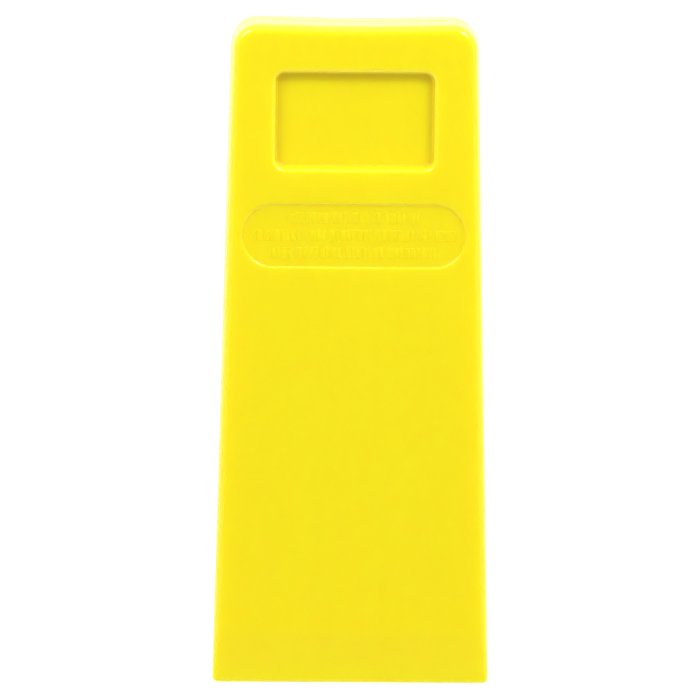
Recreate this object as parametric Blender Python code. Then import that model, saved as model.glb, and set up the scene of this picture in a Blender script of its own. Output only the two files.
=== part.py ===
"""Splitting and felling wedge, one solid plastic moulding, modelled in metres with +Z up.

The wedge lies on its flat back face: +X across its width, +Y from the thin tip towards the
striking end. It is drawn in its own mid-plane first, as x across, v along from the tip, and
w out of the mid-plane, and then tipped so that the back face rests on Z = 0.
"""
import math

import bmesh
import bpy
from mathutils import Matrix, Vector
from mathutils.geometry import delaunay_2d_cdt

MM = 0.001

# Body, measured in the mid-plane
LENGTH = 139.7 * MM             # tip to striking end
TIP_WIDTH = 57.85 * MM          # over the parting line
HEAD_WIDTH = 51.6 * MM
HEAD_THICKNESS = 25.4 * MM
BEVEL_LENGTH = 11.0 * MM        # the steeper lead-in at the tip
BEVEL_THICKNESS = 5.0 * MM      # where the lead-in meets the main faces
TIP_THICKNESS = 2.0 * MM
HEAD_CORNER_RADIUS = 5.5 * MM   # in plan
TIP_CORNER_RADIUS = 1.1 * MM
EDGE_RADIUS = 1.5 * MM          # between the side walls and the faces
END_EDGE_RADIUS = 2.0 * MM      # between the struck end and the faces
EDGE_RADIUS_SHARE = 0.27        # of the local thickness, where the tip is too thin for that
SIDE_DRAFT = math.radians(2.6)  # each way from the parting line
END_DRAFT = math.radians(1.0)

# Recesses in the upper face, placed along the mid-plane from the tip
WINDOW_CENTRE = 119.3 * MM
WINDOW_SIZE = (33.25 * MM, 20.35 * MM)
WINDOW_CORNER_RADIUS = 2.2 * MM
WINDOW_DEPTH = 2.6 * MM
WINDOW_DRAFT = math.radians(6.0)
WINDOW_RIM_RADIUS = 1.0 * MM
WINDOW_FLOOR_RADIUS = 0.4 * MM
PANEL_CENTRE = 95.05 * MM
PANEL_SIZE = (47.0 * MM, 13.6 * MM)
PANEL_CORNER_RADIUS = 6.7 * MM
PANEL_DEPTH = 0.45 * MM
PANEL_DRAFT = math.radians(25.0)
PANEL_RIM_RADIUS = 0.3 * MM
PANEL_FLOOR_RADIUS = 0.3 * MM

# Raised plain blocks on the panel's floor, in centred rows
BLOCK_ROWS = (27.0 * MM, 42.4 * MM, 34.6 * MM)   # row lengths, nearest the striking end first
BLOCK_ROW_PITCH = 3.7 * MM
BLOCK_HEIGHT = 2.3 * MM
BLOCK_WIDTHS = (1.0 * MM, 0.6 * MM, 0.8 * MM)
BLOCK_GAP = 0.35 * MM
BLOCK_GROUP_GAP = 1.1 * MM
BLOCKS_PER_GROUP = (7, 9, 4, 8)
BLOCK_RISE = 0.15 * MM

# Facets
HEAD_CORNER_STEPS = 12
TIP_CORNER_STEPS = 5
EDGE_STEPS = 5
RECESS_CORNER_STEPS = 8
RIM_STEPS = 3
FLOOR_STEPS = 4
BEVEL_SIDE_STATIONS = (0.25, 0.45, 0.7, 1.0)     # shares of the bevel's length
SMOOTH_BELOW = math.radians(28.0)
CDT_EPSILON = 1e-9

PLASTIC_COLOUR = (0.92, 0.765, 0.015, 1.0)
PLASTIC_ROUGHNESS = 0.32

HALF_ANGLE = math.atan(0.5 * (HEAD_THICKNESS - BEVEL_THICKNESS) / (LENGTH - BEVEL_LENGTH))
SIDE_TAPER = 0.5 * (TIP_WIDTH - HEAD_WIDTH) / LENGTH
SIDE_SCALE = math.hypot(1.0, SIDE_TAPER)
ALONG_FACE = Vector((0.0, math.cos(HALF_ANGLE), math.sin(HALF_ANGLE)))
OUT_OF_FACE = Vector((0.0, -math.sin(HALF_ANGLE), math.cos(HALF_ANGLE)))


def clear_scene():
    for item in list(bpy.data.objects):
        bpy.data.objects.remove(item, do_unlink=True)


def half_thickness(v):
    """Half the thickness over the faces at v: the steep lead-in, then the main taper."""
    if v < BEVEL_LENGTH:
        rise = (BEVEL_THICKNESS - TIP_THICKNESS) * v / BEVEL_LENGTH
        return 0.5 * (TIP_THICKNESS + rise)
    return 0.5 * BEVEL_THICKNESS + (v - BEVEL_LENGTH) * math.tan(HALF_ANGLE)


def half_width(v):
    return 0.5 * TIP_WIDTH - SIDE_TAPER * v


def edge_radius(v):
    return min(EDGE_RADIUS, EDGE_RADIUS_SHARE * 2.0 * half_thickness(v))


def corner(v_centre, radius, start, end, steps):
    """Stations round a plan corner on the +X side, as (x, v, normal x, normal v)."""
    x_centre = half_width(v_centre) - radius * SIDE_SCALE
    for step in range(steps + 1):
        angle = start + (end - start) * step / steps
        across = math.cos(angle)
        along = math.sin(angle)
        yield (x_centre + radius * across, v_centre + radius * along, across, along)


def plan_stations():
    """The parting line, counterclockwise from the middle of the tip edge."""
    side_angle = math.atan(SIDE_TAPER)
    right = list(corner(TIP_CORNER_RADIUS, TIP_CORNER_RADIUS, -0.5 * math.pi, side_angle,
                        TIP_CORNER_STEPS))
    for share in BEVEL_SIDE_STATIONS:
        v = share * BEVEL_LENGTH
        right.append((half_width(v), v, SIDE_SCALE, 0.0))
    right += corner(LENGTH - HEAD_CORNER_RADIUS, HEAD_CORNER_RADIUS, side_angle, 0.5 * math.pi,
                    HEAD_CORNER_STEPS)
    left = [(-x, v, -across, along) for x, v, across, along in reversed(right)]
    return right + left


def edge_point(station, angle):
    """Where the rounded edge at a station faces `angle` above the mid-plane (0.25 turn is flat)."""
    x, v, across, along = station
    sideways = min(1.0, across * across)
    draft = END_DRAFT + (SIDE_DRAFT - END_DRAFT) * sideways
    angle = max(angle, draft)
    radius = edge_radius(v) + (END_EDGE_RADIUS - EDGE_RADIUS) * max(0.0, along) ** 2
    wall_top = half_thickness(v) - radius * (1.0 - math.sin(draft))
    inset = wall_top * math.tan(draft) + radius * (math.cos(draft) - math.cos(angle))
    v_in = v - along * inset
    return Vector((x - across * inset, v_in, half_thickness(v_in) - radius * (1.0 - math.sin(angle))))


def bridge(bm, lower, upper):
    """Quads between two rings of the same count, facing out when both run counterclockwise."""
    count = len(lower)
    for i in range(count):
        j = (i + 1) % count
        bm.faces.new((lower[i], lower[j], upper[j], upper[i]))


def inside(point, loop):
    """Even-odd test of a 2D point against a closed loop of 2D points."""
    crossing = False
    for (ax, ay), (bx, by) in zip(loop, loop[1:] + loop[:1]):
        if (ay > point[1]) != (by > point[1]):
            if point[0] < ax + (bx - ax) * (point[1] - ay) / (by - ay):
                crossing = not crossing
    return crossing


def fill(bm, outer, holes, project):
    """Triangles between an outer ring and the rings of its holes, all in one plane."""
    rings = [outer] + holes
    flat_rings = [[project(vert.co) for vert in ring] for ring in rings]
    verts = [vert for ring in rings for vert in ring]
    points = [Vector(point) for ring in flat_rings for point in ring]
    edges = []
    start = 0
    for ring in rings:
        count = len(ring)
        edges += [(start + i, start + (i + 1) % count) for i in range(count)]
        start += count
    triangles = delaunay_2d_cdt(points, edges, [], 0, CDT_EPSILON)[2]
    for triangle in triangles:
        middle = sum((points[i] for i in triangle), Vector((0.0, 0.0))) / 3.0
        if not inside(middle, flat_rings[0]):
            continue
        if any(inside(middle, hole) for hole in flat_rings[1:]):
            continue
        bm.faces.new([verts[i] for i in triangle])


def rounded_rectangle(half_x, half_s, radius, steps):
    """Points of a rounded rectangle, counterclockwise, in face coordinates."""
    points = []
    for quarter in range(4):
        turn = 0.5 * math.pi * quarter
        sign_x = (1, -1, -1, 1)[quarter]
        sign_s = (1, 1, -1, -1)[quarter]
        for step in range(steps + 1):
            angle = turn + 0.5 * math.pi * step / steps
            points.append((sign_x * (half_x - radius) + radius * math.cos(angle),
                           sign_s * (half_s - radius) + radius * math.sin(angle)))
    return points


def recess_profile(depth, draft, rim_radius, floor_radius):
    """(inset, depth) pairs from the face, round the rim, down the wall and onto the floor."""
    turn = 0.5 * math.pi - draft
    rim_run = rim_radius * math.tan(0.5 * turn)
    floor_run = floor_radius * math.tan(0.5 * turn)
    foot = depth * math.tan(draft)
    profile = []
    for step in range(RIM_STEPS + 1):
        angle = turn * step / RIM_STEPS
        profile.append((rim_radius * math.sin(angle) - rim_run,
                        rim_radius * (1.0 - math.cos(angle))))
    for step in range(FLOOR_STEPS + 1):
        angle = turn * (1.0 - step / FLOOR_STEPS)
        profile.append((foot + floor_run - floor_radius * math.sin(angle),
                        depth - floor_radius * (1.0 - math.cos(angle))))
    return profile


def on_face(centre_v, x, s, depth):
    """A point of the upper main face, s along it from centre_v and depth below it."""
    origin = Vector((0.0, centre_v, half_thickness(centre_v)))
    return origin + Vector((x, 0.0, 0.0)) + s * ALONG_FACE - depth * OUT_OF_FACE


def face_plane(co):
    """2D coordinates in the plane of the upper main face."""
    return (co.x, co.dot(ALONG_FACE))


def add_recess(bm, centre_v, size, corner_radius, profile):
    """The rings of one recess; returns the ring at the face and the ring at the floor."""
    rings = []
    for inset, sink in profile:
        outline = rounded_rectangle(0.5 * size[0] - inset, 0.5 * size[1] - inset,
                                    corner_radius - inset, RECESS_CORNER_STEPS)
        rings.append([bm.verts.new(on_face(centre_v, x, s, sink)) for x, s in outline])
    for upper, lower in zip(rings, rings[1:]):
        bridge(bm, upper, lower)
    return rings[0], rings[-1]


def block_row(length, row):
    """Left edge and width of each block of a row, centred and in groups."""
    blocks = []
    x = 0.0
    group = row
    placed = 0
    while True:
        width = BLOCK_WIDTHS[(placed + len(blocks) + row) % len(BLOCK_WIDTHS)]
        if x + width > length:
            break
        blocks.append((x, width))
        placed += 1
        x += width + BLOCK_GAP
        if placed == BLOCKS_PER_GROUP[group % len(BLOCKS_PER_GROUP)]:
            x += BLOCK_GROUP_GAP - BLOCK_GAP
            group += 1
            placed = 0
    end = blocks[-1][0] + blocks[-1][1]
    return [(left - 0.5 * end, width) for left, width in blocks]


def add_blocks(bm):
    """The raised blocks on the panel's floor; returns the ring each stands on."""
    feet = []
    top = PANEL_DEPTH - BLOCK_RISE
    for row, length in enumerate(BLOCK_ROWS):
        s = BLOCK_ROW_PITCH * (0.5 * (len(BLOCK_ROWS) - 1) - row)
        for left, width in block_row(length, row):
            corners = [(left, s - 0.5 * BLOCK_HEIGHT), (left + width, s - 0.5 * BLOCK_HEIGHT),
                       (left + width, s + 0.5 * BLOCK_HEIGHT), (left, s + 0.5 * BLOCK_HEIGHT)]
            foot = [bm.verts.new(on_face(PANEL_CENTRE, x, y, PANEL_DEPTH)) for x, y in corners]
            cap = [bm.verts.new(on_face(PANEL_CENTRE, x, y, top)) for x, y in corners]
            bridge(bm, foot, cap)
            bm.faces.new(cap)
            feet.append(foot)
    return feet


def add_half(bm, stations, parting, sign):
    """One half of the walls and rounded edges, up (+1) or down (-1); returns its face ring."""
    rings = [parting]
    for step in range(EDGE_STEPS + 1):
        angle = 0.5 * math.pi * step / EDGE_STEPS
        ring = []
        for station in stations:
            point = edge_point(station, angle)
            ring.append(bm.verts.new((point.x, point.y, sign * point.z)))
        rings.append(ring)
    for lower, upper in zip(rings, rings[1:]):
        if sign > 0:
            bridge(bm, lower, upper)
        else:
            bridge(bm, upper, lower)
    return rings[-1]


def split_at_bevel(stations, ring):
    """The part of a face ring round the tip bevel, and the part round the main face."""
    right, left = [i for i, station in enumerate(stations) if station[1] == BEVEL_LENGTH]
    return ring[left:] + ring[:right + 1], ring[right:left + 1]


def wedge_mesh():
    bm = bmesh.new()
    stations = plan_stations()
    parting = [bm.verts.new((x, v, 0.0)) for x, v, _, _ in stations]

    upper = add_half(bm, stations, parting, 1)
    tip, main = split_at_bevel(stations, upper)
    bm.faces.new(tip)
    window_profile = recess_profile(WINDOW_DEPTH, WINDOW_DRAFT, WINDOW_RIM_RADIUS, WINDOW_FLOOR_RADIUS)
    window_rim, window_floor = add_recess(bm, WINDOW_CENTRE, WINDOW_SIZE, WINDOW_CORNER_RADIUS,
                                          window_profile)
    panel_profile = recess_profile(PANEL_DEPTH, PANEL_DRAFT, PANEL_RIM_RADIUS, PANEL_FLOOR_RADIUS)
    panel_rim, panel_floor = add_recess(bm, PANEL_CENTRE, PANEL_SIZE, PANEL_CORNER_RADIUS,
                                        panel_profile)
    fill(bm, main, [window_rim, panel_rim], face_plane)
    fill(bm, window_floor, [], face_plane)
    fill(bm, panel_floor, add_blocks(bm), face_plane)

    lower = add_half(bm, stations, parting, -1)
    tip, main = split_at_bevel(stations, lower)
    bm.faces.new(list(reversed(tip)))
    bm.faces.new(list(reversed(main)))

    stand = Matrix.Rotation(HALF_ANGLE, 4, "X")
    bmesh.ops.transform(bm, matrix=stand, verts=bm.verts)
    lowest = min(vert.co.z for vert in bm.verts)
    along = [vert.co.y for vert in bm.verts]
    middle = 0.5 * (min(along) + max(along))
    bmesh.ops.translate(bm, vec=(0.0, -middle, -lowest), verts=bm.verts)
    mesh = bpy.data.meshes.new("wedge_body")
    bm.to_mesh(mesh)
    bm.free()
    return mesh


def plastic():
    """Bright yellow moulded plastic with a soft gloss."""
    material = bpy.data.materials.new("yellow_plastic")
    material.use_nodes = True
    shader = material.node_tree.nodes["Principled BSDF"]
    shader.inputs["Base Color"].default_value = PLASTIC_COLOUR
    shader.inputs["Roughness"].default_value = PLASTIC_ROUGHNESS
    shader.inputs["Metallic"].default_value = 0.0
    return material


def main():
    clear_scene()
    mesh = wedge_mesh()
    mesh.materials.append(plastic())
    mesh.shade_smooth()
    mesh.set_sharp_from_angle(angle=SMOOTH_BELOW)
    wedge = bpy.data.objects.new("wedge_body", mesh)
    bpy.context.scene.collection.objects.link(wedge)


main()
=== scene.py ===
"""Looks for the felling wedge: one finely meshed plastic moulding on a plain white studio floor."""
import math

import bmesh
import bpy
from mathutils import Matrix, Vector
from mathutils.geometry import delaunay_2d_cdt


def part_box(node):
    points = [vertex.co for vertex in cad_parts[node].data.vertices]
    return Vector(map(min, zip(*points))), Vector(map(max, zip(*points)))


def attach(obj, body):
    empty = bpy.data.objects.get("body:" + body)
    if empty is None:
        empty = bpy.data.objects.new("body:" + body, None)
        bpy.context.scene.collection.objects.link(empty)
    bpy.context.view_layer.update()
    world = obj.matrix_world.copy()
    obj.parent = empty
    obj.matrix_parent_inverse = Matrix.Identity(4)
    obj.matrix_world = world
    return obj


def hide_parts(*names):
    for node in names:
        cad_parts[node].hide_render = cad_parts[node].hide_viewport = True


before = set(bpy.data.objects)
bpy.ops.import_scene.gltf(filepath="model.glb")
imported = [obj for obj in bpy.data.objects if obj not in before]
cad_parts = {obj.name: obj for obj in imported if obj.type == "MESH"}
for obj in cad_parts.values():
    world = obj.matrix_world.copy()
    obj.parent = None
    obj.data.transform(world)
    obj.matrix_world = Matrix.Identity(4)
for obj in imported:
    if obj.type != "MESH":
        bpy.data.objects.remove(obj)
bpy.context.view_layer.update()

MM = 0.001

# The moulding, measured in its mid-plane: x across, v along from the tip, w out of the plane
LENGTH = 139.7 * MM
TIP_WIDTH = 57.85 * MM
HEAD_WIDTH = 51.6 * MM
HEAD_THICKNESS = 25.4 * MM
BEVEL_LENGTH = 11.0 * MM
BEVEL_THICKNESS = 5.0 * MM
TIP_THICKNESS = 2.0 * MM
HEAD_CORNER_RADIUS = 5.5 * MM
TIP_CORNER_RADIUS = 1.1 * MM
EDGE_RADIUS = 1.5 * MM
END_EDGE_RADIUS = 2.0 * MM          # round the struck end
EDGE_RADIUS_SHARE = 0.27            # of the thickness, where that is too thin for the full radius
SIDE_DRAFT = math.radians(2.6)
END_DRAFT = math.radians(1.0)

WINDOW_CENTRE = 119.3 * MM
WINDOW_SIZE = (33.25 * MM, 20.35 * MM)
WINDOW_CORNER_RADIUS = 2.2 * MM
WINDOW_DEPTH = 2.6 * MM
WINDOW_DRAFT = math.radians(6.0)
WINDOW_RIM_RADIUS = 1.0 * MM
WINDOW_FLOOR_RADIUS = 0.4 * MM
PANEL_CENTRE = 95.05 * MM
PANEL_SIZE = (47.0 * MM, 13.6 * MM)
PANEL_CORNER_RADIUS = 6.7 * MM
PANEL_DEPTH = 0.45 * MM
PANEL_DRAFT = math.radians(25.0)
PANEL_RIM_RADIUS = 0.3 * MM
PANEL_FLOOR_RADIUS = 0.3 * MM

BLOCK_ROWS = (27.0 * MM, 42.4 * MM, 34.6 * MM)   # row lengths, nearest the struck end first
BLOCK_ROW_PITCH = 3.7 * MM
BLOCK_HEIGHT = 2.3 * MM
BLOCK_WIDTHS = (1.0 * MM, 0.6 * MM, 0.8 * MM)
BLOCK_GAP = 0.35 * MM
BLOCK_GROUP_GAP = 1.1 * MM
BLOCKS_PER_GROUP = (7, 9, 4, 8)
BLOCK_RISE = 0.09 * MM
BLOCK_CHAMFER = 0.05 * MM

# Shrinkage of the thick moulding, which the plain CAD solid doesn't have
END_SINK = 0.34 * MM
END_SINK_HALF_WIDTH = 21.0 * MM
FACE_SINK = 0.06 * MM
FACE_SINK_STRETCH = 1.02            # the faces are level again just before the struck end
FLASH = 0.05 * MM                   # the mould's parting line stands this proud
FLASH_HEIGHT = 0.12 * MM            # and fades into the wall over this height
FLASH_SHARE = 0.3                   # or over this share of the wall, where the wall is low

# Mesh fineness
HEAD_CORNER_STEPS = 28
TIP_CORNER_STEPS = 10
END_STEP = 1.5 * MM
SIDE_STEP = 2.0 * MM
WALL_STEPS = 6
EDGE_STEPS = 10
RECESS_CORNER_STEPS = 14
RECESS_SIDE_STEP = 1.0 * MM
RIM_STEPS = 7
FLOOR_STEPS = 7
SUPPORT = 0.15 * MM                 # flat margin that keeps rounded edges' shading off the faces
FACE_GRID = 1.6 * MM
PANEL_GRID = 0.8 * MM
GRID_CLEARANCE = 0.6                # of the grid's spacing, kept free along every ring
SHARP_ANGLE = math.radians(25.0)
CDT_EPSILON = 1e-9

HALF_ANGLE = math.atan(0.5 * (HEAD_THICKNESS - BEVEL_THICKNESS) / (LENGTH - BEVEL_LENGTH))
BEVEL_ANGLE = math.atan(0.5 * (BEVEL_THICKNESS - TIP_THICKNESS) / BEVEL_LENGTH)
SIDE_TAPER = 0.5 * (TIP_WIDTH - HEAD_WIDTH) / LENGTH
SIDE_SCALE = math.hypot(1.0, SIDE_TAPER)
ALONG_FACE = Vector((0.0, math.cos(HALF_ANGLE), math.sin(HALF_ANGLE)))
OUT_OF_FACE = Vector((0.0, -math.sin(HALF_ANGLE), math.cos(HALF_ANGLE)))
ALONG_BEVEL = Vector((0.0, math.cos(BEVEL_ANGLE), math.sin(BEVEL_ANGLE)))
MIRRORED = Vector((1.0, 1.0, -1.0))     # turns the upper half's directions into the lower half's

# The plastic. Noise scales are in cells to the metre, and ranges are of the noise's own 0 to 1
PLASTIC_SHADES = ((0.966, 0.789, 0.003, 1.0), (0.953, 0.776, 0.003, 1.0))
PLASTIC_ROUGHNESS = (0.17, 0.23)
PLASTIC_SPECULAR = 0.8
SCATTER_DEPTH = 3.6 * MM
SCATTER_REACH = (1.0, 0.8, 0.05)    # share of that depth that red, green and blue light travel
CLOUD_SCALE = 55.0
CLOUD_RANGE = (0.3, 0.7)
FLOW_SCALE = 260.0
FLOW_STRETCH = (1.0, 0.12, 1.0)     # streaks run along the wedge, as the melt did
FLOW_RANGE = (0.35, 0.65)
POLISH_SCALE = 240.0
POLISH_RANGE = (0.3, 0.7)
PEEL_SCALE = 650.0
PEEL_HEIGHT = 0.006 * MM
SCUFF_SCALE = 840.0
SCUFF_STRETCH = (1.0, 0.06, 0.4)
SCUFF_RANGE = (0.66, 0.78)
SCUFF_ROUGHNESS = 0.04

# The studio
FLOOR_HALF_SIZE = 2.0
FLOOR_COLOUR = (0.88, 0.88, 0.88, 1.0)
FLOOR_ROUGHNESS = 0.8
FLOOR_GLOW = 0.2                    # emission strength for every ray
FLOOR_OVEREXPOSURE = 0.6            # added where the camera sees the floor directly
OVERHEAD_HEIGHTS = (0.76, 0.90)     # heights are sines of the angle above the horizon
LOW_HEIGHTS = (0.05, 0.35)
OVERHEAD_LIGHT = 0.17
MIDDLE_LIGHT = (0.73, 1.25, 0.68, 0.83)    # towards +X, +Y, -X and -Y
LOW_LIGHT = (0.8, 1.1, 0.8, 1.3)           # the same
NEVER_ZERO = 0.0001                 # keeps the share straight overhead from dividing by zero
SOFTBOX_DISTANCE = 1.2
SOFTBOX_SIDE = math.radians(42.0)   # off the struck end's direction, to either side
SOFTBOX_HEIGHT = math.radians(44.0) # above the horizon
SOFTBOXES = ((1.0, 0.26, 5.8), (-1.0, 0.42, 5.1))    # side of the wedge (+X or -X), size, watts

CAMERA_DISTANCE = 3.0
CAMERA_CLIP = (0.1, 20.0)
SENSOR_WIDTH = 36.0                 # the camera's own millimetres, as its lens is
FRAME_WIDTH = 146.47 * MM           # what the picture spans at the camera's target
CAMERA_TILT = math.radians(1.5)     # towards the struck end
CAMERA_LEAN = math.radians(-0.8)    # towards -X
CAMERA_ROLL = math.radians(0.36)
CAMERA_TARGET = (-0.59 * MM, 0.15 * MM, 12.0 * MM)


# ---------------------------------------------------------------- the moulding's shape

def half_thickness(v):
    if v < BEVEL_LENGTH:
        return 0.5 * TIP_THICKNESS + v * math.tan(BEVEL_ANGLE)
    return 0.5 * BEVEL_THICKNESS + (v - BEVEL_LENGTH) * math.tan(HALF_ANGLE)


def half_width(v):
    return 0.5 * TIP_WIDTH - SIDE_TAPER * v


def edge_radius(v):
    return min(EDGE_RADIUS, EDGE_RADIUS_SHARE * 2.0 * half_thickness(v))


def spaced(start, end, step):
    """Values strictly between start and end, no further apart than step."""
    count = max(1, math.ceil(abs(end - start) / step))
    return [start + (end - start) * i / count for i in range(1, count)]


def corner(v_centre, radius, start, end, steps):
    """Stations round a plan corner on the +X side, as (x, v, normal x, normal v)."""
    x_centre = half_width(v_centre) - radius * SIDE_SCALE
    for step in range(steps + 1):
        angle = start + (end - start) * step / steps
        across = math.cos(angle)
        along = math.sin(angle)
        yield (x_centre + radius * across, v_centre + radius * along, across, along)


def plan_stations():
    """The parting line, counterclockwise from the middle of the tip edge."""
    side_angle = math.atan(SIDE_TAPER)
    quarter = 0.5 * math.pi
    tip = list(corner(TIP_CORNER_RADIUS, TIP_CORNER_RADIUS, -quarter, side_angle, TIP_CORNER_STEPS))
    head = list(corner(LENGTH - HEAD_CORNER_RADIUS, HEAD_CORNER_RADIUS, side_angle, quarter,
                       HEAD_CORNER_STEPS))
    right = [(x, 0.0, 0.0, -1.0) for x in spaced(0.0, tip[0][0], END_STEP)]
    right += tip
    side = spaced(tip[-1][1], BEVEL_LENGTH, 0.5 * SIDE_STEP) + [BEVEL_LENGTH]
    side += spaced(BEVEL_LENGTH, head[0][1], SIDE_STEP)
    right += [(half_width(v), v, SIDE_SCALE, 0.0) for v in side]
    right += head
    right += [(x, LENGTH, 0.0, 1.0) for x in spaced(head[-1][0], 0.0, END_STEP)]
    left = [(-x, v, -across, along) for x, v, across, along in reversed(right)]
    return [(0.0, 0.0, 0.0, -1.0)] + right + [(0.0, LENGTH, 0.0, 1.0)] + left


def end_sink(x, along):
    """How far the struck end has drawn in at x."""
    share = 1.0 - min(1.0, abs(x) / END_SINK_HALF_WIDTH) ** 2
    return END_SINK * share * share * max(0.0, along)


def wall_points(wall_top, draft):
    """(inset, rise) of the wall's points, from the tip of the flash to just below the edge round."""
    foot = min(FLASH_HEIGHT, FLASH_SHARE * wall_top)
    rises = [foot + (wall_top - foot) * step / WALL_STEPS for step in range(1, WALL_STEPS)]
    return [(-FLASH, 0.0), (0.0, foot)] + [(rise * math.tan(draft), rise) for rise in rises]


def section(station):
    """Points of the wall, the rounded edge and its support margin, from the parting line inwards."""
    x, v, across, along = station
    draft = END_DRAFT + (SIDE_DRAFT - END_DRAFT) * min(1.0, across * across)
    radius = edge_radius(v) + (END_EDGE_RADIUS - EDGE_RADIUS) * max(0.0, along) ** 2
    wall_top = half_thickness(v) - radius * (1.0 - math.sin(draft))
    sink = end_sink(x, along)
    points = []
    for inset, rise in wall_points(wall_top, draft):
        points.append(Vector((x - across * inset, v - along * (inset + sink), rise)))
    for step in range(EDGE_STEPS + 1):
        angle = draft + (0.5 * math.pi - draft) * step / EDGE_STEPS
        inset = wall_top * math.tan(draft) + radius * (math.cos(draft) - math.cos(angle))
        v_in = v - along * (inset + sink)
        rise = half_thickness(v_in) - radius * (1.0 - math.sin(angle))
        points.append(Vector((x - across * inset, v_in, rise)))
    inset += SUPPORT
    v_in = v - along * (inset + sink)
    points.append(Vector((x - across * inset, v_in, half_thickness(v_in))))
    return points


def bridge(bm, lower, upper):
    """Quads between two rings of the same length."""
    count = len(lower)
    for i in range(count):
        j = (i + 1) % count
        bm.faces.new((lower[i], lower[j], upper[j], upper[i]))


def inside(point, loop):
    """Even-odd test of a 2D point against a closed loop of 2D points."""
    crossing = False
    for (ax, ay), (bx, by) in zip(loop, loop[1:] + loop[:1]):
        if (ay > point[1]) != (by > point[1]):
            if point[0] < ax + (bx - ax) * (point[1] - ay) / (by - ay):
                crossing = not crossing
    return crossing


def grid_points(loops, spacing):
    """A grid of 2D points inside the first loop, outside the others, and clear of all of them."""
    xs = [p[0] for p in loops[0]]
    ys = [p[1] for p in loops[0]]
    rows = int((max(ys) - min(ys)) / spacing)
    columns = int((max(xs) - min(xs)) / spacing)
    rim = [Vector(p) for loop in loops for p in loop]
    clear = GRID_CLEARANCE * spacing
    points = []
    for row in range(1, rows + 1):
        y = min(ys) + (max(ys) - min(ys)) * row / (rows + 1)
        near = [p for p in rim if abs(p.y - y) < clear]
        for column in range(1, columns + 1):
            x = min(xs) + (max(xs) - min(xs)) * column / (columns + 1)
            if not inside((x, y), loops[0]) or any(inside((x, y), hole) for hole in loops[1:]):
                continue
            if all((p.x - x) ** 2 + (p.y - y) ** 2 > clear * clear for p in near):
                points.append(Vector((x, y)))
    return points


def fill(bm, outer, holes, axis, spacing, upward=True):
    """Even triangles in one plane between an outer ring and its holes. axis runs up the plane, along v."""
    origin = outer[0].co.copy()
    rings = [outer] + holes

    def flat(co):
        return (co.x, (co - origin).dot(axis))

    loops = [[flat(vert.co) for vert in ring] for ring in rings]
    verts = [vert for ring in rings for vert in ring]
    points = [Vector(point) for loop in loops for point in loop]
    edges = []
    start = 0
    for ring in rings:
        count = len(ring)
        edges += [(start + i, start + (i + 1) % count) for i in range(count)]
        start += count
    for point in grid_points(loops, spacing):
        points.append(point)
        verts.append(bm.verts.new(Vector((point.x, origin.y, origin.z)) + point.y * axis))
    for triangle in delaunay_2d_cdt(points, edges, [], 0, CDT_EPSILON)[2]:
        middle = sum((points[i] for i in triangle), Vector((0.0, 0.0))) / 3.0
        if not inside(middle, loops[0]) or any(inside(middle, hole) for hole in loops[1:]):
            continue
        order = triangle if upward else reversed(triangle)
        bm.faces.new([verts[i] for i in order])


def rounded_rectangle(half_x, half_s, radius, side_steps):
    """Points of a rounded rectangle, counterclockwise; side_steps divide its upper and its left side."""
    points = []
    centres = [(half_x - radius, half_s - radius), (radius - half_x, half_s - radius),
               (radius - half_x, radius - half_s), (half_x - radius, radius - half_s)]
    for quarter, (x, s) in enumerate(centres):
        for step in range(RECESS_CORNER_STEPS + 1):
            angle = 0.5 * math.pi * (quarter + step / RECESS_CORNER_STEPS)
            points.append((x + radius * math.cos(angle), s + radius * math.sin(angle)))
        next_x, next_s = centres[(quarter + 1) % 4]
        count = side_steps[quarter % 2]
        for step in range(1, count):
            share = step / count
            points.append((points[-1][0] if quarter % 2 else x + (next_x - x) * share,
                           s + (next_s - s) * share if quarter % 2 else points[-1][1]))
    return points


def recess_profile(depth, draft, rim_radius, floor_radius):
    """(inset, depth) from the face, round the rim, down the wall and onto the floor."""
    turn = 0.5 * math.pi - draft
    rim_run = rim_radius * math.tan(0.5 * turn)
    floor_run = floor_radius * math.tan(0.5 * turn)
    foot = depth * math.tan(draft)
    profile = [(-rim_run - SUPPORT, 0.0)]
    for step in range(RIM_STEPS + 1):
        angle = turn * step / RIM_STEPS
        profile.append((rim_radius * math.sin(angle) - rim_run,
                        rim_radius * (1.0 - math.cos(angle))))
    for step in range(FLOOR_STEPS + 1):
        angle = turn * (1.0 - step / FLOOR_STEPS)
        profile.append((foot + floor_run - floor_radius * math.sin(angle),
                        depth - floor_radius * (1.0 - math.cos(angle))))
    profile.append((profile[-1][0] + SUPPORT, depth))
    return profile


def on_face(centre_v, x, s, depth):
    """A point depth below the upper face, x across and s up the face from its point at centre_v."""
    origin = Vector((0.0, centre_v, half_thickness(centre_v)))
    return origin + Vector((x, 0.0, 0.0)) + s * ALONG_FACE - depth * OUT_OF_FACE


def add_recess(bm, centre_v, size, corner_radius, profile):
    """A recess's rim, walls and floor round; returns its outer ring and the ring round its floor."""
    rings = []
    side_steps = [max(1, int((length - 2.0 * corner_radius) / RECESS_SIDE_STEP)) for length in size]
    for inset, sink in profile:
        outline = rounded_rectangle(0.5 * size[0] - inset, 0.5 * size[1] - inset,
                                    corner_radius - inset, side_steps)
        rings.append([bm.verts.new(on_face(centre_v, x, s, sink)) for x, s in outline])
    for upper, lower in zip(rings, rings[1:]):
        bridge(bm, upper, lower)
    return rings[0], rings[-1]


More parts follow.
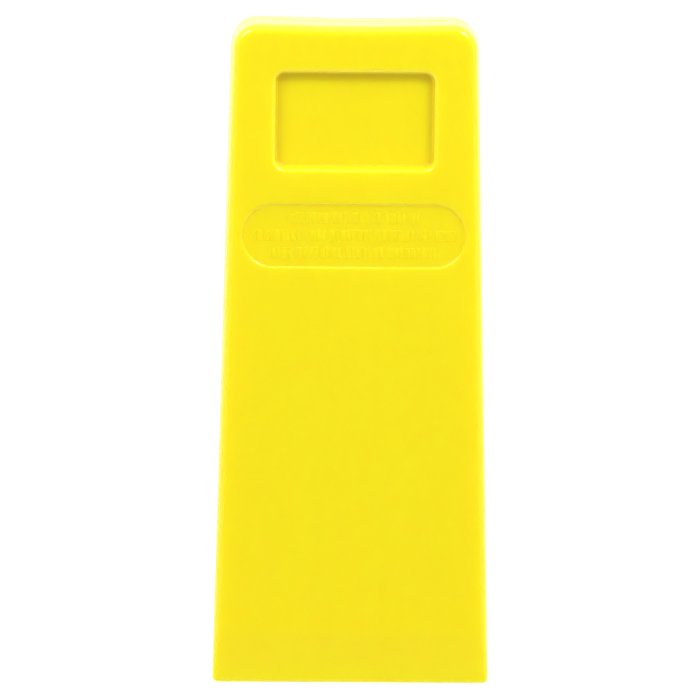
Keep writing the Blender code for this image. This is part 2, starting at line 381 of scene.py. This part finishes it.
def block_row(length, row):
    """Left edge and width of each block of a row, centred and in groups."""
    blocks = []
    x = 0.0
    group = row
    placed = 0
    while True:
        width = BLOCK_WIDTHS[(placed + len(blocks) + row) % len(BLOCK_WIDTHS)]
        if x + width > length:
            break
        blocks.append((x, width))
        placed += 1
        x += width + BLOCK_GAP
        if placed == BLOCKS_PER_GROUP[group % len(BLOCKS_PER_GROUP)]:
            x += BLOCK_GROUP_GAP - BLOCK_GAP
            group += 1
            placed = 0
    end = blocks[-1][0] + blocks[-1][1]
    return [(left - 0.5 * end, width) for left, width in blocks]


def add_blocks(bm):
    """Raised blocks with softened edges on the panel's floor; returns the ring each stands on."""
    feet = []
    levels = ((0.0, 0.0),
              (0.5 * BLOCK_CHAMFER, BLOCK_RISE - BLOCK_CHAMFER),
              (1.5 * BLOCK_CHAMFER, BLOCK_RISE))
    for row, length in enumerate(BLOCK_ROWS):
        s = BLOCK_ROW_PITCH * (0.5 * (len(BLOCK_ROWS) - 1) - row)
        for left, width in block_row(length, row):
            rings = []
            for inset, rise in levels:
                x0, x1 = left + inset, left + width - inset
                s0, s1 = s - 0.5 * BLOCK_HEIGHT + inset, s + 0.5 * BLOCK_HEIGHT - inset
                corners = [(x0, s0), (x1, s0), (x1, s1), (x0, s1)]
                rings.append([bm.verts.new(on_face(PANEL_CENTRE, x, y, PANEL_DEPTH - rise))
                              for x, y in corners])
            bridge(bm, rings[0], rings[1])
            bridge(bm, rings[1], rings[2])
            bm.faces.new(rings[2])
            feet.append(rings[0])
    return feet


def add_half(bm, stations, parting, sign):
    """One half of the walls and rounded edges, up (+1) or down (-1); returns its face ring."""
    sections = [section(station) for station in stations]
    rings = [parting]
    for level in range(1, len(sections[0])):
        rings.append([bm.verts.new((points[level].x, points[level].y, sign * points[level].z))
                      for points in sections])
    for lower, upper in zip(rings, rings[1:]):
        if sign > 0:
            bridge(bm, lower, upper)
        else:
            bridge(bm, upper, lower)
    return rings[-1]


def split_at_bevel(stations, ring):
    """A face ring as its bevel part and its main part, which share the bevel line's two ends."""
    right, left = [i for i, station in enumerate(stations) if station[1] == BEVEL_LENGTH]
    return ring[left:] + ring[:right + 1], ring[right:left + 1]


def sink_faces(bm):
    """The faint hollow that shrinkage leaves in both main faces."""
    for vert in bm.verts:
        v = vert.co.y
        across = min(1.0, abs(vert.co.x) / half_width(v))
        along = min(1.0, max(0.0, v - BEVEL_LENGTH) / (LENGTH - BEVEL_LENGTH))
        crown = math.sqrt(math.sin(math.pi * min(1.0, FACE_SINK_STRETCH * along)))
        vert.co.z -= FACE_SINK * (1.0 - across ** 4) * crown * vert.co.z / half_thickness(v)


def lay_down(bm):
    """Turn the moulding onto its back face and move it to where the CAD solid lies."""
    bmesh.ops.transform(bm, matrix=Matrix.Rotation(HALF_ANGLE, 4, "X"), verts=bm.verts)
    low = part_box("wedge_body")[0]
    front = min(vert.co.y for vert in bm.verts)
    lowest = min(vert.co.z for vert in bm.verts)
    bmesh.ops.translate(bm, vec=(0.0, low.y - front, low.z - lowest), verts=bm.verts)


def moulding():
    """The whole wedge as one closed mesh."""
    bm = bmesh.new()
    stations = plan_stations()
    parting = [bm.verts.new(section(station)[0]) for station in stations]
    tip, main = split_at_bevel(stations, add_half(bm, stations, parting, 1))
    window_rim, window_floor = add_recess(
        bm, WINDOW_CENTRE, WINDOW_SIZE, WINDOW_CORNER_RADIUS,
        recess_profile(WINDOW_DEPTH, WINDOW_DRAFT, WINDOW_RIM_RADIUS, WINDOW_FLOOR_RADIUS))
    panel_rim, panel_floor = add_recess(
        bm, PANEL_CENTRE, PANEL_SIZE, PANEL_CORNER_RADIUS,
        recess_profile(PANEL_DEPTH, PANEL_DRAFT, PANEL_RIM_RADIUS, PANEL_FLOOR_RADIUS))
    tip_below, main_below = split_at_bevel(stations, add_half(bm, stations, parting, -1))

    fill(bm, tip, [], ALONG_BEVEL, FACE_GRID)
    fill(bm, tip_below, [], ALONG_BEVEL * MIRRORED, FACE_GRID, upward=False)
    fill(bm, main, [window_rim, panel_rim], ALONG_FACE, FACE_GRID)
    fill(bm, main_below, [], ALONG_FACE * MIRRORED, FACE_GRID, upward=False)
    fill(bm, window_floor, [], ALONG_FACE, FACE_GRID)
    fill(bm, panel_floor, add_blocks(bm), ALONG_FACE, PANEL_GRID)
    sink_faces(bm)
    lay_down(bm)

    mesh = bpy.data.meshes.new("wedge_moulding")
    bm.to_mesh(mesh)
    bm.free()
    mesh.shade_smooth()
    mesh.set_sharp_from_angle(angle=SHARP_ANGLE)
    return mesh


# ---------------------------------------------------------------- materials

def textured(material):
    """Three helpers for a material's nodes: noise in the object's coordinates, a remap, and arithmetic."""
    tree = material.node_tree
    coordinates = tree.nodes.new("ShaderNodeTexCoord").outputs["Object"]

    def noise(scale, stretch=(1.0, 1.0, 1.0), detail=2.0):
        mapping = tree.nodes.new("ShaderNodeMapping")
        mapping.inputs["Scale"].default_value = stretch
        tree.links.new(coordinates, mapping.inputs["Vector"])
        texture = tree.nodes.new("ShaderNodeTexNoise")
        texture.inputs["Scale"].default_value = scale
        texture.inputs["Detail"].default_value = detail
        tree.links.new(mapping.outputs["Vector"], texture.inputs["Vector"])
        return texture.outputs["Fac"]

    def remap(value, start, end, low, high):
        made = tree.nodes.new("ShaderNodeMapRange")
        tree.links.new(value, made.inputs["Value"])
        for socket, number in zip(("From Min", "From Max", "To Min", "To Max"), (start, end, low, high)):
            made.inputs[socket].default_value = number
        return made.outputs["Result"]

    def combine(operation, first, second):
        made = tree.nodes.new("ShaderNodeMath")
        made.operation = operation
        for socket, value in zip(made.inputs, (first, second)):
            if isinstance(value, float):
                socket.default_value = value
            else:
                tree.links.new(value, socket)
        return made.outputs["Value"]

    return noise, remap, combine


def plastic():
    """Glossy, slightly translucent moulded plastic: faint flow marks, orange peel and handling scuffs."""
    material = bpy.data.materials.new("yellow_moulded_plastic")
    material.use_nodes = True
    tree = material.node_tree
    shader = tree.nodes["Principled BSDF"]
    noise, remap, combine = textured(material)

    cloud = remap(noise(CLOUD_SCALE, detail=3.0), *CLOUD_RANGE, 0.0, 1.0)
    flow = remap(noise(FLOW_SCALE, FLOW_STRETCH), *FLOW_RANGE, 0.0, 1.0)
    colour = tree.nodes.new("ShaderNodeMix")
    colour.data_type = "RGBA"
    tree.links.new(combine("MULTIPLY", combine("ADD", cloud, flow), 0.5), colour.inputs["Factor"])
    colour.inputs["A"].default_value = PLASTIC_SHADES[0]
    colour.inputs["B"].default_value = PLASTIC_SHADES[1]
    tree.links.new(colour.outputs["Result"], shader.inputs["Base Color"])

    scuffs = remap(noise(SCUFF_SCALE, SCUFF_STRETCH, detail=1.0), *SCUFF_RANGE, 0.0, SCUFF_ROUGHNESS)
    polish = remap(noise(POLISH_SCALE), *POLISH_RANGE, *PLASTIC_ROUGHNESS)
    tree.links.new(combine("ADD", polish, scuffs), shader.inputs["Roughness"])
    bump = tree.nodes.new("ShaderNodeBump")
    bump.inputs["Strength"].default_value = 1.0
    bump.inputs["Distance"].default_value = PEEL_HEIGHT
    tree.links.new(noise(PEEL_SCALE, detail=1.0), bump.inputs["Height"])
    tree.links.new(bump.outputs["Normal"], shader.inputs["Normal"])

    shader.inputs["Specular IOR Level"].default_value = PLASTIC_SPECULAR
    shader.inputs["Subsurface Weight"].default_value = 1.0
    shader.inputs["Subsurface Radius"].default_value = SCATTER_REACH
    shader.inputs["Subsurface Scale"].default_value = SCATTER_DEPTH
    return material


def white_floor():
    """A faintly glowing white table, which the camera meets overexposed, as in a studio shot."""
    material = bpy.data.materials.new("white_floor")
    material.use_nodes = True
    nodes = material.node_tree.nodes
    shader = nodes["Principled BSDF"]
    shader.inputs["Base Color"].default_value = FLOOR_COLOUR
    shader.inputs["Roughness"].default_value = FLOOR_ROUGHNESS
    shader.inputs["Specular IOR Level"].default_value = 0.0
    shader.inputs["Emission Color"].default_value = (1.0, 1.0, 1.0, 1.0)
    path = nodes.new("ShaderNodeLightPath")
    boost = nodes.new("ShaderNodeMath")
    boost.operation = "MULTIPLY_ADD"
    boost.inputs[1].default_value = FLOOR_OVEREXPOSURE
    boost.inputs[2].default_value = FLOOR_GLOW
    material.node_tree.links.new(path.outputs["Is Camera Ray"], boost.inputs[0])
    material.node_tree.links.new(boost.outputs[0], shader.inputs["Emission Strength"])
    return material


# ---------------------------------------------------------------- the studio

def add_floor():
    mesh = bpy.data.meshes.new("floor")
    half = FLOOR_HALF_SIZE
    corners = [(-half, -half, 0.0), (half, -half, 0.0), (half, half, 0.0), (-half, half, 0.0)]
    mesh.from_pydata(corners, [], [(0, 1, 2, 3)])
    floor = bpy.data.objects.new("floor", mesh)
    bpy.context.scene.collection.objects.link(floor)
    mesh.materials.append(white_floor())


def add_softboxes():
    """Two near lights beyond the struck end, one to each side."""
    for side, size, power in SOFTBOXES:
        data = bpy.data.lights.new("softbox", "AREA")
        data.size = size
        data.energy = power
        light = bpy.data.objects.new("softbox", data)
        bpy.context.scene.collection.objects.link(light)
        towards = Vector((side * math.sin(SOFTBOX_SIDE) * math.cos(SOFTBOX_HEIGHT),
                          math.cos(SOFTBOX_SIDE) * math.cos(SOFTBOX_HEIGHT), math.sin(SOFTBOX_HEIGHT)))
        light.location = SOFTBOX_DISTANCE * towards
        light.rotation_mode = "QUATERNION"
        light.rotation_quaternion = (-towards).to_track_quat("-Z", "Y")


def add_world():
    """A studio dome, dim overhead. Lower down, two rings of light change smoothly with direction."""
    world = bpy.data.worlds.new("studio")
    world.use_nodes = True
    tree = world.node_tree

    def node(kind, operation, *inputs):
        made = tree.nodes.new("ShaderNode" + kind)
        made.operation = operation
        for socket, value in zip(made.inputs, inputs):
            if isinstance(value, bpy.types.NodeSocket):
                tree.links.new(value, socket)
            else:
                socket.default_value = value
        return made.outputs["Value" if kind == "Math" or operation == "DOT_PRODUCT" else "Vector"]

    def ramp(height, start, end):
        made = tree.nodes.new("ShaderNodeMapRange")
        made.interpolation_type = "SMOOTHSTEP"
        tree.links.new(height, made.inputs["Value"])
        made.inputs["From Min"].default_value = start
        made.inputs["From Max"].default_value = end
        return made.outputs["Result"]

    direction = tree.nodes.new("ShaderNodeTexCoord").outputs["Generated"]
    axes = tree.nodes.new("ShaderNodeSeparateXYZ")
    tree.links.new(direction, axes.inputs[0])
    height = axes.outputs["Z"]
    above = ramp(height, *OVERHEAD_HEIGHTS)
    low = node("Math", "SUBTRACT", 1.0, ramp(height, *LOW_HEIGHTS))
    middle = node("Math", "SUBTRACT", node("Math", "SUBTRACT", 1.0, above), low)
    squares = []
    for operation in ("MAXIMUM", "MINIMUM"):
        part = node("VectorMath", operation, direction, (0.0, 0.0, 0.0))
        squares.append(node("VectorMath", "MULTIPLY", part, part))
    forward, backward = squares
    across = node("Math", "SUBTRACT", 1.0 + NEVER_ZERO, node("Math", "MULTIPLY", height, height))
    total = node("Math", "MULTIPLY", above, OVERHEAD_LIGHT)
    for share, (right, head, left, tip) in ((middle, MIDDLE_LIGHT), (low, LOW_LIGHT)):
        ring = node("Math", "ADD", node("VectorMath", "DOT_PRODUCT", forward, (right, head, 0.0)),
                    node("VectorMath", "DOT_PRODUCT", backward, (left, tip, 0.0)))
        ring = node("Math", "DIVIDE", ring, across)
        total = node("Math", "ADD", total, node("Math", "MULTIPLY", ring, share))
    background = tree.nodes["Background"]
    background.inputs["Color"].default_value = (1.0, 1.0, 1.0, 1.0)
    tree.links.new(total, background.inputs["Strength"])
    bpy.context.scene.world = world


def add_camera():
    data = bpy.data.cameras.new("camera")
    data.sensor_width = SENSOR_WIDTH
    data.lens = SENSOR_WIDTH * CAMERA_DISTANCE / FRAME_WIDTH
    data.clip_start, data.clip_end = CAMERA_CLIP
    camera = bpy.data.objects.new("camera", data)
    bpy.context.scene.collection.objects.link(camera)
    aim = Matrix.Rotation(-CAMERA_TILT, 4, "X") @ Matrix.Rotation(CAMERA_LEAN, 4, "Y")
    camera.matrix_world = (Matrix.Translation(CAMERA_TARGET) @ aim
                           @ Matrix.Translation((0.0, 0.0, CAMERA_DISTANCE))
                           @ Matrix.Rotation(CAMERA_ROLL, 4, "Z"))
    bpy.context.scene.camera = camera


# ---------------------------------------------------------------- put together

def main():
    bpy.context.scene.view_settings.view_transform = "Standard"
    mesh = moulding()
    mesh.materials.append(plastic())
    wedge = bpy.data.objects.new("wedge_moulding", mesh)
    bpy.context.scene.collection.objects.link(wedge)
    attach(wedge, "root")
    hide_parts("wedge_body")
    add_floor()
    add_softboxes()
    add_world()
    add_camera()
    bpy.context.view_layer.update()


main()
